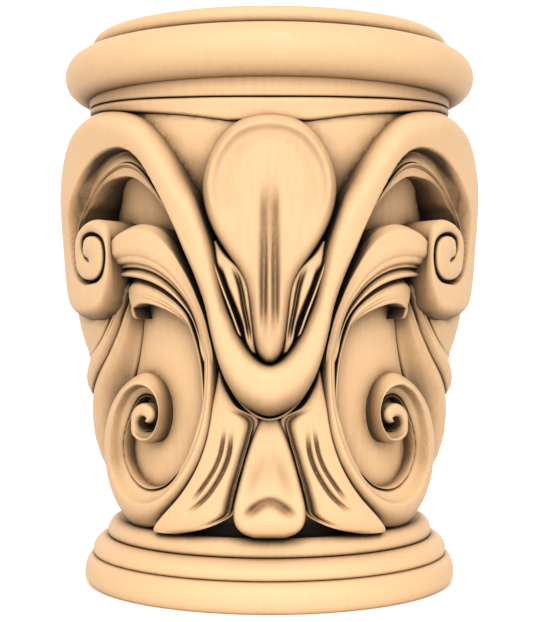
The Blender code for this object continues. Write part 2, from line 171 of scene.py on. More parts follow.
# Wraps a flat drawing (X degrees, Y rise, Z height, all in millimetres but the angle) round the bell,
# mirrors it across the middle of the front and repeats it round the column.
def makeWrapTree():
    tree, given = newTree(
        "wrapRoundBell",
        [
            ("Foot height", "NodeSocketFloat", bell["foot"]),
            ("Carved height", "NodeSocketFloat", bell["carved"]),
            ("Foot radius", "NodeSocketFloat", bell["footRadius"]),
            ("Flare", "NodeSocketFloat", bell["flare"]),
            ("Units round", "NodeSocketInt", bell["units"]),
            ("Mirrored", "NodeSocketBool", True),
            ("Wood", "NodeSocketMaterial", None),
        ],
    )
    drawn = addNode(
        tree, "ShaderNodeSeparateXYZ", links={0: addNode(tree, "GeometryNodeInputPosition").outputs[0]}
    ).outputs
    steps = (  # the name of each step, its operation, and the two numbers or earlier steps it takes
        ("angle", "RADIANS", "X", 0.0),
        ("sine", "SINE", "angle", 0.0),
        ("cosine", "COSINE", "angle", 0.0),
        ("up", "SUBTRACT", "Z", "Foot height"),
        ("share", "DIVIDE", "up", "Carved height"),
        ("steep", "POWER", "share", 6.0),
        ("curl", "DIVIDE", "steep", 9.0),
        ("straight", "MULTIPLY", "share", 8 / 9),
        ("opening", "ADD", "straight", "curl"),
        ("swell", "MULTIPLY", "opening", "Flare"),
        ("ground", "ADD", "swell", "Foot radius"),
        ("radius", "ADD", "ground", "Y"),
        ("right", "MULTIPLY", "radius", "sine"),
        ("inwards", "MULTIPLY", "radius", -1.0),
        ("back", "MULTIPLY", "inwards", "cosine"),
    )
    known = {axis: drawn[axis] for axis in "XYZ"}
    known.update({label: given[label] for label in ("Foot height", "Carved height", "Foot radius", "Flare")})
    for step, operation, first, second in steps:
        known[step] = addNode(
            tree,
            "ShaderNodeMath",
            {"operation": operation, "use_clamp": step == "share"},
            {0: known.get(first, first), 1: known.get(second, second)},
        ).outputs[0]
    spot = addNode(
        tree, "ShaderNodeCombineXYZ", links={"X": known["right"], "Y": known["back"], "Z": known["Z"]}
    ).outputs[0]
    metres = addNode(tree, "ShaderNodeVectorMath", {"operation": "SCALE"}, {0: spot, "Scale": mm}).outputs[0]
    wrapped = addNode(
        tree, "GeometryNodeSetPosition", links={"Geometry": given["Geometry"], "Position": metres}
    ).outputs[0]
    turnedOver = addNode(
        tree, "GeometryNodeTransform", links={"Geometry": wrapped, "Scale": (-1.0, 1.0, 1.0)}
    ).outputs[0]
    facingOut = addNode(tree, "GeometryNodeFlipFaces", links={"Mesh": turnedOver}).outputs[0]
    bothSides = addNode(tree, "GeometryNodeJoinGeometry")
    tree.links.new(facingOut, bothSides.inputs[0])
    tree.links.new(wrapped, bothSides.inputs[0])
    unit = addNode(
        tree,
        "GeometryNodeSwitch",
        {"input_type": "GEOMETRY"},
        {"Switch": given["Mirrored"], "False": wrapped, "True": bothSides.outputs[0]},
    ).outputs[0]
    spots = addNode(
        tree, "GeometryNodeMeshLine", links={"Count": given["Units round"], "Offset": (0.0, 0.0, 0.0)}
    ).outputs[0]
    apart = addNode(
        tree, "ShaderNodeMath", {"operation": "DIVIDE"}, {0: 2 * math.pi, 1: given["Units round"]}
    ).outputs[0]
    index = addNode(tree, "GeometryNodeInputIndex").outputs[0]
    turn = addNode(tree, "ShaderNodeMath", {"operation": "MULTIPLY"}, {0: index, 1: apart}).outputs[0]
    turned = addNode(tree, "ShaderNodeCombineXYZ", links={"Z": turn}).outputs[0]
    placed = addNode(
        tree,
        "GeometryNodeInstanceOnPoints",
        links={"Points": spots, "Instance": unit, "Rotation": turned},
    ).outputs[0]
    real = addNode(tree, "GeometryNodeRealizeInstances", links={"Geometry": placed}).outputs[0]
    finished = addNode(
        tree, "GeometryNodeSetMaterial", links={"Geometry": real, "Material": given["Wood"]}
    ).outputs[0]
    addNode(tree, "NodeGroupOutput", links={"Geometry": finished})
    return tree


# Turns a half outline (X out, Z up) about the column's axis, as on a lathe.
def makeLatheTree():
    tree, given = newTree(
        "turnOnLathe",
        [("Cuts round", "NodeSocketInt", 320), ("Wood", "NodeSocketMaterial", None)],
    )
    apart = addNode(
        tree, "ShaderNodeMath", {"operation": "DIVIDE"}, {0: 2 * math.pi, 1: given["Cuts round"]}
    ).outputs[0]
    spots = addNode(
        tree, "GeometryNodeMeshLine", links={"Count": given["Cuts round"], "Offset": (0.0, 0.0, 0.0)}
    ).outputs[0]
    index = addNode(tree, "GeometryNodeInputIndex").outputs[0]
    turn = addNode(tree, "ShaderNodeMath", {"operation": "MULTIPLY"}, {0: index, 1: apart}).outputs[0]
    turned = addNode(tree, "ShaderNodeCombineXYZ", links={"Z": turn}).outputs[0]
    placed = addNode(
        tree,
        "GeometryNodeInstanceOnPoints",
        links={"Points": spots, "Instance": given["Geometry"], "Rotation": turned},
    ).outputs[0]
    real = addNode(tree, "GeometryNodeRealizeInstances", links={"Geometry": placed}).outputs[0]
    joined = addNode(
        tree, "GeometryNodeMergeByDistance", links={"Geometry": real, "Distance": 0.01 * mm}
    ).outputs[0]
    finished = addNode(
        tree, "GeometryNodeSetMaterial", links={"Geometry": joined, "Material": given["Wood"]}
    ).outputs[0]
    addNode(tree, "NodeGroupOutput", links={"Geometry": finished})
    return tree


wrapTree = makeWrapTree()
latheTree = makeLatheTree()
print("node trees ready")


def runTree(drawnObject, tree, values):
    # evaluates the tree on the object and gives back a plain mesh
    modifier = drawnObject.modifiers.new("shape", "NODES")
    modifier.node_group = tree
    for item in tree.interface.items_tree:
        if item.in_out == "INPUT" and item.name in values:
            modifier[item.identifier] = values[item.name]
    drawnObject.update_tag()
    graph = bpy.context.evaluated_depsgraph_get()
    made = bpy.data.meshes.new_from_object(drawnObject.evaluated_get(graph))
    drawnObject.modifiers.remove(modifier)
    return made


def meshObject(name, points, faces):
    mesh = bpy.data.meshes.new(name)
    mesh.from_pydata([tuple(p) for p in points], [], [tuple(f) for f in faces])
    mesh.update()
    made = bpy.data.objects.new(name, mesh)
    bpy.context.scene.collection.objects.link(made)
    return made


def smoothRun(rows, step):
    # a smooth curve through the rows, cut into even stations
    rows = np.array(rows, float)
    padded = np.vstack([rows[:1], rows, rows[-1:]])
    t = np.linspace(0, 1, 24, endpoint=False)[:, None]
    fine = []
    for p, q, r, s in zip(padded, padded[1:], padded[2:], padded[3:]):
        fine.append(
            0.5 * (2 * q + (r - p) * t + (2 * p - 5 * q + 4 * r - s) * t**2 + (3 * q - p - 3 * r + s) * t**3)
        )
    fine = np.vstack(fine + [rows[-1:]])
    moves = np.diff(fine, axis=0)
    first = np.hypot(moves[:, 0] * mmPerDegree, moves[:, 1])
    second = np.hypot(moves[:, 2] * mmPerDegree, moves[:, 3])
    gaps = 0.7 * np.maximum(first, second) + 0.3 * np.minimum(first, second)  # the longer edge counts most
    length = np.concatenate([[0.0], np.cumsum(gaps)])
    at = np.linspace(0, length[-1], max(6, int(length[-1] / step)) + 1)
    return np.stack([np.interp(at, length, column) for column in fine.T], axis=1), at


def spread(count):
    # shares across a member, closer together near its edges
    t = np.linspace(0, 1, count)
    return 0.6 * (0.5 - 0.5 * np.cos(np.pi * t)) + 0.4 * t


def roundOff(distance, radius):
    # how far a rounded edge has dropped at a distance from it
    gap = np.clip(radius - distance, 0, None)
    return radius - np.sqrt(np.clip(radius**2 - gap**2, 0, None))


def ease(x):
    x = np.clip(x, 0, 1)
    return x * x * (3 - 2 * x)


def lineDistance(angles, heights, line):
    # distance in millimetres from each point to a drawn line, and the share along it
    px, py = angles * mmPerDegree, heights
    line = np.array(line, float) * (mmPerDegree, 1.0)
    lengths = np.hypot(*np.diff(line, axis=0).T)
    ends = np.concatenate([[0], np.cumsum(lengths)]) / lengths.sum()
    best = np.full(px.shape, 1e9)
    share = np.zeros(px.shape)
    for k, (start, end) in enumerate(zip(line, line[1:])):
        run = end - start
        t = np.clip(((px - start[0]) * run[0] + (py - start[1]) * run[1]) / max(run @ run, 1e-9), 0, 1)
        gap = np.hypot(px - start[0] - t * run[0], py - start[1] - t * run[1])
        nearer = gap < best
        best[nearer] = gap[nearer]
        share[nearer] = (ends[k] + (ends[k + 1] - ends[k]) * t)[nearer]
    return best, share


def gouge(angles, heights, line, width, depth, fade=0.25):
    # the cut of a gouge that runs along a line and lifts out at both ends
    curve, _ = smoothRun([(*p, *p) for p in line], 1.5)
    gap, share = lineDistance(angles, heights, curve[:, :2])
    lift = ease(share / fade) * ease((1 - share) / fade)
    return depth * lift * np.exp(-((gap / width) ** 2))


drawnPieces = []
cutDepths = {}


def carve(name, rows, shape, step=1.8, across=32, edge=1.5, ends=0.0, tuck=1.0, sink=6.0, cuts=()):
    # one member of the drawing in relief, as a closed mesh between its two edges
    stations, along = smoothRun(rows, step)
    v = spread(across)[None, :]
    a0, z0, a1, z1, rise = (stations[:, k, None] for k in range(5))
    angles, heights = a0 + (a1 - a0) * v, z0 + (z1 - z0) * v
    width = np.hypot((a1 - a0) * mmPerDegree, z1 - z0)
    t = (along / along[-1])[:, None]
    relief = rise * shape(v, t, stations, angles, heights)
    fromSide = np.minimum(v, 1 - v) * width
    radius = np.minimum(edge(v, stations) if callable(edge) else edge, 0.5 * width)
    relief = relief - roundOff(fromSide, radius)
    if ends > 0:
        relief = relief - roundOff(np.minimum(along, along[-1] - along)[:, None] + 0 * v, ends)
    cut = 0 * relief
    for line, cutWidth, depth in cuts:
        cut = cut + gouge(angles, heights, line, cutWidth, depth)
    relief = relief - cut
    cutDepths[name] = np.pad(cut, ((0, 0), (1, 1))).ravel()
    n, m = angles.shape
    inward = np.minimum(tuck / np.maximum(width, 0.1), 0.4)
    base0 = np.stack([(a0 + (a1 - a0) * inward)[:, 0], np.full(n, -sink), (z0 + (z1 - z0) * inward)[:, 0]], 1)
    base1 = np.stack([(a1 - (a1 - a0) * inward)[:, 0], np.full(n, -sink), (z1 - (z1 - z0) * inward)[:, 0]], 1)
    top = np.stack([angles, relief, heights], axis=2)
    points = np.concatenate([base0[:, None], top, base1[:, None]], axis=1)
    ring = m + 2
    index = np.arange(n * ring).reshape(n, ring)
    here, nextOne = index[:-1], index[1:]
    faces = np.stack([here, np.roll(here, -1, 1), np.roll(nextOne, -1, 1), nextOne], axis=2).reshape(-1, 4)
    allFaces = [tuple(f) for f in faces] + [tuple(index[0][::-1]), tuple(index[-1])]
    flat = points.reshape(-1, 3)
    # wrapping turns the drawing over, so its faces look inwards here
    p, q, r, s = (flat[faces[:, k]] - flat.mean(axis=0) for k in range(4))
    volume = np.sum(np.cross(q, r) * p) + np.sum(np.cross(r, s) * p)
    if volume > 0:
        allFaces = [f[::-1] for f in allFaces]
    drawnPieces.append((name, meshObject(name, flat, allFaces)))


def mirroredRows(rows):
    return [(-r[0], r[1], -r[2], *r[3:]) for r in reversed(rows)]


def wholeWidth(rows):
    return [(-half, height, half, height, rise) for half, height, rise in rows]


# The band: outer edge, inner edge, rise, the share of its width where its face ends at the
# channel, and the radii of its two edges
arch = {
    "rows": (
        (0.0, 122.8, 0.0, 97.0, 25.0, 1.0, 8.0, 17.0),
        (-3.0, 125.2, -4.6, 99.2, 25.0, 1.0, 8.0, 16.0),
        (-5.8, 130.6, -9.0, 104.3, 25.0, 1.0, 8.0, 14.0),
        (-8.2, 138.0, -12.0, 112.5, 25.0, 1.0, 8.0, 12.0),
        (-9.9, 145.0, -14.0, 122.5, 25.0, 1.0, 7.5, 9.5),
        (-11.6, 153.5, -15.8, 136.5, 25.0, 1.0, 7.5, 8.0),
        (-13.2, 166.0, -17.5, 151.5, 24.5, 1.0, 7.0, 7.5),
        (-14.8, 180.0, -20.0, 166.0, 24.0, 1.0, 6.5, 5.5),
        (-16.8, 191.5, -22.5, 177.5, 23.2, 1.0, 7.0, 3.5),
        (-19.4, 202.5, -25.4, 190.0, 22.0, 0.96, 7.5, 1.8),
        (-23.6, 213.8, -30.0, 203.5, 20.5, 0.88, 8.5, 1.0),
        (-28.2, 226.8, -34.6, 215.0, 19.0, 0.82, 9.0, 1.0),
        (-33.0, 237.4, -38.3, 221.0, 17.8, 0.76, 9.0, 1.0),
        (-38.6, 245.6, -42.0, 223.7, 17.0, 0.72, 9.0, 1.0),
        (-46.5, 250.4, -46.0, 223.4, 16.6, 0.69, 10.0, 1.0),
        (-57.0, 252.5, -50.2, 220.7, 16.8, 0.70, 10.0, 1.0),
        (-68.0, 251.5, -53.8, 216.0, 17.6, 0.70, 13.0, 1.0),
        (-78.0, 246.5, -56.9, 210.6, 19.5, 0.71, 15.0, 1.0),
        (-85.0, 234.5, -59.6, 204.3, 22.2, 0.72, 15.0, 1.0),
        (-88.6, 217.0, -61.8, 198.8, 24.5, 0.70, 12.0, 1.0),
        (-89.2, 198.0, -63.2, 192.0, 25.1, 0.68, 9.0, 1.0),
        (-89.0, 180.0, -65.4, 183.0, 25.1, 0.78, 8.0, 1.2),
        (-87.5, 164.5, -65.0, 174.8, 25.2, 0.84, 8.0, 1.2),
        (-81.5, 152.0, -62.4, 168.4, 25.0, 0.86, 8.0, 1.2),
        (-71.0, 145.6, -59.4, 164.9, 24.8, 0.90, 8.0, 1.2),
        (-61.0, 144.0, -56.0, 163.3, 24.6, 0.97, 8.0, 1.2),
        (-53.6, 146.0, -53.0, 163.9, 24.2, 1.0, 7.0, 1.2),
        (-49.6, 153.5, -50.7, 166.3, 24.0, 1.0, 5.5, 1.2),
        (-47.2, 165.0, -49.2, 170.0, 23.8, 1.0, 3.0, 1.2),
        (-46.3, 176.0, -47.9, 177.3, 23.8, 1.0, 2.2, 1.0),
        (-46.5, 186.0, -48.5, 184.2, 23.8, 1.0, 2.5, 1.0),
        (-48.8, 193.0, -50.7, 187.4, 23.8, 1.0, 4.0, 1.0),
        (-53.2, 195.9, -54.0, 189.0, 23.8, 1.0, 4.5, 1.0),
        (-58.4, 194.4, -57.1, 188.4, 24.0, 1.0, 4.0, 1.0),
        (-62.6, 190.2, -59.7, 186.2, 24.2, 1.0, 2.5, 1.0),
        (-65.0, 184.0, -60.7, 182.8, 24.4, 1.0, 2.0, 1.0),
        (-65.6, 178.5, -60.4, 179.6, 24.4, 1.0, 1.6, 1.0),
        (-65.4, 174.0, -59.3, 177.4, 24.5, 1.0, 1.2, 0.3),
        (-64.2, 169.6, -58.4, 175.4, 24.6, 1.0, 1.1, 0.0),
        (-61.4, 166.3, -57.4, 174.6, 24.6, 1.0, 1.1, 0.0),
        (-57.6, 164.7, -56.8, 174.2, 24.6, 1.0, 1.1, 0.0),
        (-54.0, 164.8, -56.4, 174.0, 24.6, 1.0, 1.1, 0.0),
        (-51.4, 166.8, -56.1, 174.2, 24.6, 1.0, 1.1, 0.0),
        (-49.7, 170.6, -56.0, 174.6, 24.6, 1.0, 1.1, 0.0),
        (-49.0, 175.2, -56.0, 175.0, 24.6, 1.0, 1.1, 0.0),
        (-48.9, 180.0, -56.1, 175.5, 24.6, 1.0, 1.1, 0.0),
        (-49.7, 184.2, -56.4, 176.0, 24.6, 1.0, 1.1, 0.0),
        (-51.9, 186.8, -56.8, 176.4, 24.6, 1.0, 1.1, 0.0),
        (-54.9, 187.5, -57.3, 176.7, 24.6, 1.0, 1.1, 0.0),
        (-57.4, 186.6, -57.8, 176.9, 24.6, 1.0, 1.1, 0.0),
        (-58.2, 184.4, -57.9, 177.0, 24.6, 1.0, 1.1, 0.0),
        (-58.2, 181.4, -58.0, 177.1, 24.6, 1.0, 1.1, 0.0),
        (-58.3, 178.6, -58.1, 177.2, 24.6, 1.0, 0.4, 0.0),
    ),
    "crown": 0.06,  # how much the face of the band falls away from its middle
    "legCrown": 0.04,
    "channelDepth": 0.40,
    "channelSide": 0.22,  # share of the channel's width that its steep side takes
    "channelRise": 0.50,  # share of its depth that its floor wins back towards the inner edge
}


def archShape(v, t, stations, angles, heights):
    shoulder = stations[:, 5, None]
    inArch = ease((0.99 - shoulder) / 0.10)
    face = 1 - arch["crown"] * ((v / shoulder - 0.5) / 0.5) ** 2
    into = (v - shoulder) / np.maximum(1 - shoulder, 0.02)
    floor = 1 - arch["channelRise"] * ease((into - 0.15) / 0.85)
    channel = 1 - arch["crown"] - arch["channelDepth"] * ease(into / arch["channelSide"]) * floor
    leg = 1 - arch["legCrown"] * (2 * v - 1) ** 2
    return (1 - inArch) * leg + inArch * np.where(v < shoulder, face, channel)


def archEdge(v, stations):
    return np.where(v < 0.5, stations[:, 6, None], stations[:, 7, None])


leftArch = list(arch["rows"])
carve("band", mirroredRows(leftArch) + leftArch[1:], archShape, step=1.9, across=46, edge=archEdge)

# The moulding round the arch's opening: its rim and the slope down to the opening, as rim angle,
# height and rise, then the opening's angle and height
archBead = {
    "rows": (
        (-24.4, 182.5, 16.5, -24.0, 178.0),
        (-25.3, 187.8, 15.8, -25.5, 185.0),
        (-27.7, 196.8, 15.0, -28.5, 194.6),
        (-30.7, 205.4, 14.6, -31.7, 201.9),
        (-33.9, 213.4, 14.4, -34.9, 208.4),
        (-37.2, 219.6, 14.2, -38.4, 213.2),
        (-40.8, 223.1, 14.0, -41.2, 215.9),
        (-44.8, 223.7, 14.0, -44.4, 217.2),
        (-49.0, 221.5, 14.4, -47.6, 217.0),
        (-53.2, 217.0, 15.6, -51.0, 216.0),
        (-56.6, 211.2, 17.0, -54.1, 213.5),
        (-59.4, 204.6, 18.6, -56.6, 209.6),
        (-61.7, 199.6, 19.8, -59.0, 204.2),
        (-63.0, 193.0, 21.4, -61.4, 199.2),
        (-63.3, 187.0, 22.2, -63.2, 192.0),
    ),
    "rim": 0.9,  # height of the rim in millimetres
    "slope": 0.17,  # share of its rise that the moulding loses down to the opening
}


def beadShape(v, t, stations, angles, heights):
    rise = stations[:, 4, None]
    rim = np.exp(-(((v - 0.10) / 0.07) ** 2)) - 0.9 * np.exp(-(((v - 0.28) / 0.07) ** 2))
    return 1 - archBead["slope"] * ease(v) + archBead["rim"] * rim * ease(t / 0.2) / rise


carve(
    "archBead",
    [(a, z, b, y, rise) for a, z, rise, b, y in archBead["rows"]],
    beadShape,
    step=1.4,
    across=30,
    edge=0.9,
    tuck=0.6,
)


def plain(v, t, stations, angles, heights):
    return 1 + 0 * v * t


# The hooded leaf in two folds, with the curled end of the lower one: upper edge, lower edge, rise
hood = {
    "upper": (
        (-48.5, 181.5, -50.5, 165.4, 20.6),
        (-46.2, 186.8, -47.5, 166.2, 21.2),
        (-42.5, 190.6, -43.5, 166.2, 21.6),
        (-37.5, 192.3, -39.3, 165.4, 21.5),
        (-32.8, 191.0, -35.3, 163.7, 21.2),
        (-29.0, 187.0, -31.7, 160.9, 20.2),
        (-26.2, 181.0, -28.5, 156.9, 18.8),
        (-24.0, 173.5, -25.9, 152.3, 17.4),
        (-21.8, 165.0, -23.8, 147.3, 16.0),
        (-20.0, 156.5, -22.3, 141.5, 15.0),
        (-18.2, 147.5, -21.3, 134.5, 14.2),
        (-17.0, 138.5, -20.8, 128.0, 13.6),
        (-16.1, 129.0, -19.8, 121.5, 12.8),
        (-16.6, 119.0, -19.2, 113.0, 11.2),
        (-17.0, 110.0, -18.8, 106.0, 9.0),
    ),
    "lower": (
        (-46.6, 162.6, -46.4, 149.0, 12.2),
        (-44.4, 165.6, -44.4, 150.8, 13.0),
        (-40.8, 166.0, -41.4, 152.5, 14.0),
        (-36.8, 164.0, -37.6, 152.4, 14.2),
        (-33.0, 161.0, -33.8, 150.7, 13.8),
        (-29.5, 157.0, -30.3, 148.3, 13.3),
        (-26.3, 152.0, -27.3, 145.4, 12.8),
        (-24.3, 147.0, -25.2, 142.0, 12.4),
        (-22.9, 140.5, -23.6, 137.5, 12.0),
        (-21.6, 133.0, -22.6, 131.0, 11.5),
        (-20.6, 124.0, -21.9, 123.0, 10.8),
        (-20.2, 114.0, -21.5, 113.6, 10.0),
        (-20.4, 104.0, -21.8, 104.2, 9.0),
        (-21.4, 94.0, -22.8, 94.8, 7.5),
        (-23.0, 85.0, -24.4, 86.4, 5.5),
    ),
    "curl": (
        (-46.4, 156.0, -44.8, 156.0, 10.0),
        (-46.4, 151.0, -44.9, 151.0, 11.6),
        (-46.1, 147.2, -44.5, 147.2, 11.4),
        (-45.6, 144.8, -44.0, 144.8, 10.8),
    ),
    # share across, width and depth of each pleat
    "pleats": ((0.60, 0.030, 0.020), (0.74, 0.022, 0.045), (0.83, 0.020, 0.080)),
    "lowerPleats": (0.28, 0.62, 0.80),
    "lowerDepth": 0.035,
}


def hoodShape(v, t, stations, angles, heights):
    fall = 0.16 + 0.10 * ease((0.2 - t) / 0.2)  # towards the pleats, and most near the tip
    body = 1 - 0.22 * ease((0.16 - v) / 0.16) ** 1.5 - fall * ease((v - 0.40) / 0.45)
    fold = sum(deep * np.exp(-(((v - at) / wide) ** 2)) for at, wide, deep in hood["pleats"])
    step = 0.05 * ease((v - 0.72) / 0.04) + 0.05 * ease((v - 0.80) / 0.04) - 0.08 * ease((v - 0.85) / 0.08)
    return body - (fold + step) * ease((0.80 - t) / 0.35)


def lowerHoodShape(v, t, stations, angles, heights):
    body = 1 - 0.22 * ease((0.30 - v) / 0.30) - 0.10 * ease((v - 0.5) / 0.5)
    fold = sum(np.exp(-(((v - at) / 0.035) ** 2)) for at in hood["lowerPleats"])
    return body - hood["lowerDepth"] * fold * ease((t - 0.08) / 0.2) * ease((0.9 - t) / 0.3)


carve("upperHood", hood["upper"], hoodShape, step=1.3, across=64, edge=1.6, tuck=1.5, ends=1.0)
carve("lowerHood", hood["lower"], lowerHoodShape, step=1.2, across=40, edge=0.9, tuck=1.0, ends=0.6)
carve("curl", hood["curl"], plain, step=1.0, across=12, edge=0.9, ends=0.8, tuck=0.1)

# The lower scroll: outer edge, inner edge, rise, where its ridge lies across it, and the shares of
# the rise that are left at its two edges
scroll = {
    "rows": (
        (-14.6, 152.0, -19.0, 155.0, 8.0, 0.50, 0.85, 0.85),
        (-15.0, 143.0, -19.8, 146.0, 10.5, 0.50, 0.85, 0.85),
        (-15.5, 131.0, -20.4, 133.5, 12.6, 0.50, 0.85, 0.85),
        (-15.9, 118.0, -20.2, 119.0, 13.0, 0.50, 0.85, 0.85),
        (-17.0, 101.0, -21.0, 104.0, 13.0, 0.50, 0.80, 0.85),
        (-18.6, 85.5, -23.6, 90.5, 13.0, 0.52, 0.72, 0.80),
        (-22.0, 71.5, -27.4, 77.0, 13.0, 0.54, 0.66, 0.70),
        (-27.3, 58.5, -31.6, 67.5, 13.0, 0.56, 0.60, 0.60),
        (-34.0, 47.0, -36.2, 61.5, 13.0, 0.58, 0.50, 0.48),
        (-42.0, 38.5, -41.5, 58.5, 13.0, 0.60, 0.40, 0.38),
        (-52.0, 35.2, -47.0, 57.6, 13.0, 0.62, 0.35, 0.34),
        (-63.0, 36.2, -52.2, 59.0, 13.0, 0.68, 0.34, 0.32),
        (-74.0, 42.0, -57.0, 63.2, 13.2, 0.76, 0.36, 0.32),
        (-81.5, 53.0, -60.2, 69.0, 13.4, 0.84, 0.46, 0.34),
        (-82.5, 66.0, -60.8, 76.0, 13.5, 0.88, 0.60, 0.36),
        (-78.6, 78.0, -59.0, 83.0, 13.5, 0.84, 0.68, 0.40),
        (-73.0, 87.4, -56.0, 89.0, 13.4, 0.74, 0.70, 0.42),
        (-67.5, 96.0, -53.0, 94.8, 13.2, 0.64, 0.70, 0.42),
        (-61.0, 104.5, -50.0, 100.0, 13.0, 0.58, 0.66, 0.42),
        (-54.0, 112.0, -47.4, 103.2, 13.0, 0.52, 0.55, 0.42),
        (-46.5, 117.0, -44.4, 104.6, 12.8, 0.46, 0.40, 0.42),
        (-41.0, 114.2, -41.8, 103.8, 12.2, 0.32, 0.45, 0.42),
        (-37.6, 108.4, -40.3, 101.6, 11.6, 0.18, 0.70, 0.42),
        (-36.2, 101.0, -39.7, 98.4, 11.2, 0.12, 0.80, 0.42),
        (-36.4, 94.4, -39.9, 95.0, 11.2, 0.12, 0.80, 0.42),
        (-38.0, 87.4, -41.2, 91.4, 11.6, 0.16, 0.75, 0.42),
        (-41.0, 82.2, -42.8, 88.4, 12.0, 0.26, 0.70, 0.42),
        (-45.4, 80.6, -44.4, 87.6, 12.6, 0.44, 0.70, 0.60),
        (-48.8, 84.2, -45.4, 89.2, 13.2, 0.50, 0.90, 0.90),
        (-48.6, 90.6, -45.6, 91.4, 13.6, 0.50, 0.97, 0.97),
        (-47.8, 96.0, -44.6, 93.8, 13.9, 0.50, 0.97, 0.97),
        (-45.4, 100.2, -43.2, 95.0, 14.1, 0.50, 0.97, 0.97),
        (-42.0, 101.9, -42.0, 94.9, 14.2, 0.50, 0.97, 0.97),
        (-38.9, 100.2, -41.3, 94.4, 14.1, 0.50, 0.97, 0.97),
        (-37.7, 96.8, -41.2, 94.0, 13.9, 0.50, 0.97, 0.97),
        (-38.6, 93.2, -41.6, 93.4, 13.6, 0.50, 0.97, 0.97),
        (-40.8, 91.4, -42.2, 93.2, 13.2, 0.50, 0.97, 0.97),
    ),
    "lip": 0.09,
}


def scrollShape(v, t, stations, angles, heights):
    crest, outerShare, innerShare = (stations[:, k, None] for k in (5, 6, 7))
    x = np.clip(v / crest, 0, 1)
    y = np.clip((v - crest) / (1 - crest), 0, 1)
    outer = outerShare + (1 - outerShare) * np.sin(0.5 * np.pi * x) ** 1.1
    fall = 0.45 * ease(y / 0.30) + 0.55 * y**1.3
    lip = scroll["lip"] * (np.exp(-(((y - 0.93) / 0.05) ** 2)) - np.exp(-(((y - 0.80) / 0.05) ** 2)))
    inner = 1 - (1 - innerShare) * fall + lip * ease((0.7 - innerShare) / 0.2)
    return np.where(v < crest, outer, inner)


def scrollEdge(v, stations):
    return 0.9 + 1.6 * ease((stations[:, 7, None] - 0.5) / 0.3) + 0 * v


carve("scroll", scroll["rows"], scrollShape, step=1.4, across=46, edge=scrollEdge, tuck=0.4, ends=1.2)

# The side leaf in three lobes: upper edge, lower edge, rise
sideLeaf = {
    "upper": (
        (-46.5, 167.0, -47.8, 161.5, 12.0),
        (-49.0, 160.0, -50.6, 155.0, 14.5),
        (-54.0, 154.0, -53.6, 148.4, 16.0),
        (-61.0, 151.0, -57.4, 140.6, 17.5),
        (-70.0, 150.0, -62.6, 133.0, 18.8),
        (-80.0, 150.0, -73.0, 125.4, 19.6),
        (-90.6, 150.0, -90.6, 120.6, 19.8),
    ),
    "middle": (
        (-47.2, 164.5, -46.0, 161.0, 11.0),
        (-49.8, 158.0, -48.8, 155.0, 13.0),
        (-52.2, 151.5, -51.4, 148.0, 14.0),
        (-55.4, 145.0, -53.8, 140.4, 15.0),
        (-59.6, 138.6, -57.2, 132.4, 15.8),
        (-65.0, 132.8, -62.0, 123.8, 16.4),
        (-73.5, 127.6, -70.0, 114.6, 17.0),
        (-82.0, 124.2, -79.0, 106.2, 17.4),
        (-90.6, 123.2, -90.6, 101.2, 17.4),
    ),
    "lower": (
        (-45.4, 163.0, -43.4, 162.0, 8.0),
        (-48.2, 156.0, -46.0, 153.0, 9.5),
        (-51.0, 148.6, -48.4, 144.0, 10.5),
        (-54.4, 140.8, -50.0, 135.0, 11.2),
        (-58.8, 132.6, -52.4, 125.0, 12.2),
        (-64.4, 124.6, -56.4, 113.0, 13.4),
        (-71.6, 116.0, -63.0, 99.0, 14.6),
        (-80.4, 107.4, -73.6, 78.0, 15.6),
        (-90.5, 104.0, -90.5, 60.0, 15.8),
    ),
    "profiles": {
        "upper": (1.0, 0.98, 0.94, 0.88, 0.80, 0.74),  # height across a lobe at its outer end
        "middle": (0.82, 0.88, 0.95, 1.0, 0.98, 0.86),
        "lower": (0.86, 0.95, 1.0, 0.98, 0.84, 0.62),
    },
    "folds": {"upper": (0.35, 0.70), "middle": (0.60,), "lower": (0.40,)},
    "foldDepth": 0.07,
    "fade": {"upper": 0.0, "middle": 0.0, "lower": 0.86},  # how far a lobe's inner edge sinks to the ground
}


def lobeShape(part):
    profile, folds, fade = sideLeaf["profiles"][part], sideLeaf["folds"][part], sideLeaf["fade"][part]

    def shape(v, t, stations, angles, heights):
        ending = np.interp(v, np.linspace(0, 1, len(profile)), profile)
        rounded = 0.82 + 0.18 * np.sin(np.pi * v)
        cut = sum(np.exp(-(((v - at) / 0.10) ** 2)) for at in folds)
        sunk = fade * ease((v - 0.2) / 0.8) * ease((0.95 - t) / 0.4)
        folded = sideLeaf["foldDepth"] * cut * ease((0.62 - t) / 0.4)
        return (rounded + (ending - rounded) * ease(t / 0.8) - folded) * (1 - sunk)

    return shape


for part in ("upper", "middle", "lower"):
    carve(part + "SideLobe", sideLeaf[part], lobeShape(part), step=1.6, across=36, edge=1.5, tuck=0.8)

